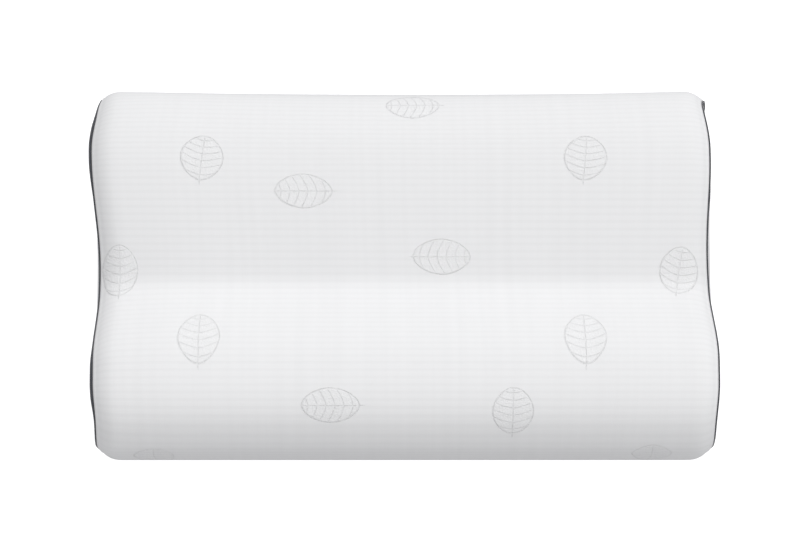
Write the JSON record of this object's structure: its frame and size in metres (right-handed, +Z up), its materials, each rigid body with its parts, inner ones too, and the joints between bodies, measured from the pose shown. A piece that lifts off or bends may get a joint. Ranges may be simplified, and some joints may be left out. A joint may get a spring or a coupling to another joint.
{
  "type": "contour bed pillow",
  "caption": "Wave-shaped foam bed pillow with a high neck lobe, a head hollow and a low back lobe, in a white rib-knit zip cover with leaf motifs and dark piping at both ends.",
  "frame": {"origin": "middle of the base, on the surface that the pillow lies on", "axes": "+X across the bed to the right end, +Y from the high neck lobe to the low back lobe, +Z up"},
  "size_m": [0.6, 0.36, 0.11],
  "materials": {
    "foam": "open-cell viscoelastic polyurethane foam, cream",
    "liner_jersey": "thin plain jersey, off-white",
    "cover_knit": "fine ribbed double knit with raised leaf motifs, white",
    "piping_satin": "bias-cut satin tape, charcoal grey",
    "piping_cord": "twisted cotton filler cord, natural",
    "zip_tape": "woven polyester tape, white",
    "zip_coil": "polyester monofilament coil, white",
    "zip_metal": "nickel-plated zinc alloy",
    "label_satin": "woven satin label, blank, white"
  },
  "bodies": {
    "pillow": {"foam_core": "foam", "liner_sleeve": "liner_jersey", "liner_end_left": "liner_jersey", "liner_end_right": "liner_jersey", "cover_top": "cover_knit", "cover_base": "cover_knit", "end_panel_left": "cover_knit", "end_panel_right": "cover_knit", "piping_tape_left": "piping_satin", "piping_tape_right": "piping_satin", "piping_cord_left": "piping_cord", "piping_cord_right": "piping_cord", "zip_facing_left": "cover_knit", "zip_facing_right": "cover_knit", "zip_tape_upper": "zip_tape", "zip_tape_lower": "zip_tape", "zip_coil_upper": "zip_coil", "zip_coil_lower": "zip_coil", "zip_top_stops": "zip_metal", "zip_bottom_stop": "zip_metal", "care_label": "label_satin"},
    "slider": {"zip_slider": "zip_metal"},
    "pull": {"zip_pull": "zip_metal"}
  },
  "joints": [
    {"name": "zip_slide", "type": "slide", "parent": "pillow", "child": "slider", "axis": [-1, 0, 0], "range_m": [0, 0.482]},
    {"name": "pull_flip", "type": "hinge", "parent": "slider", "child": "pull", "pos_m": [0.2412, 0.17745, 0.026], "axis": [0, 0, -1], "range_deg": [0, 165]}
  ]
}
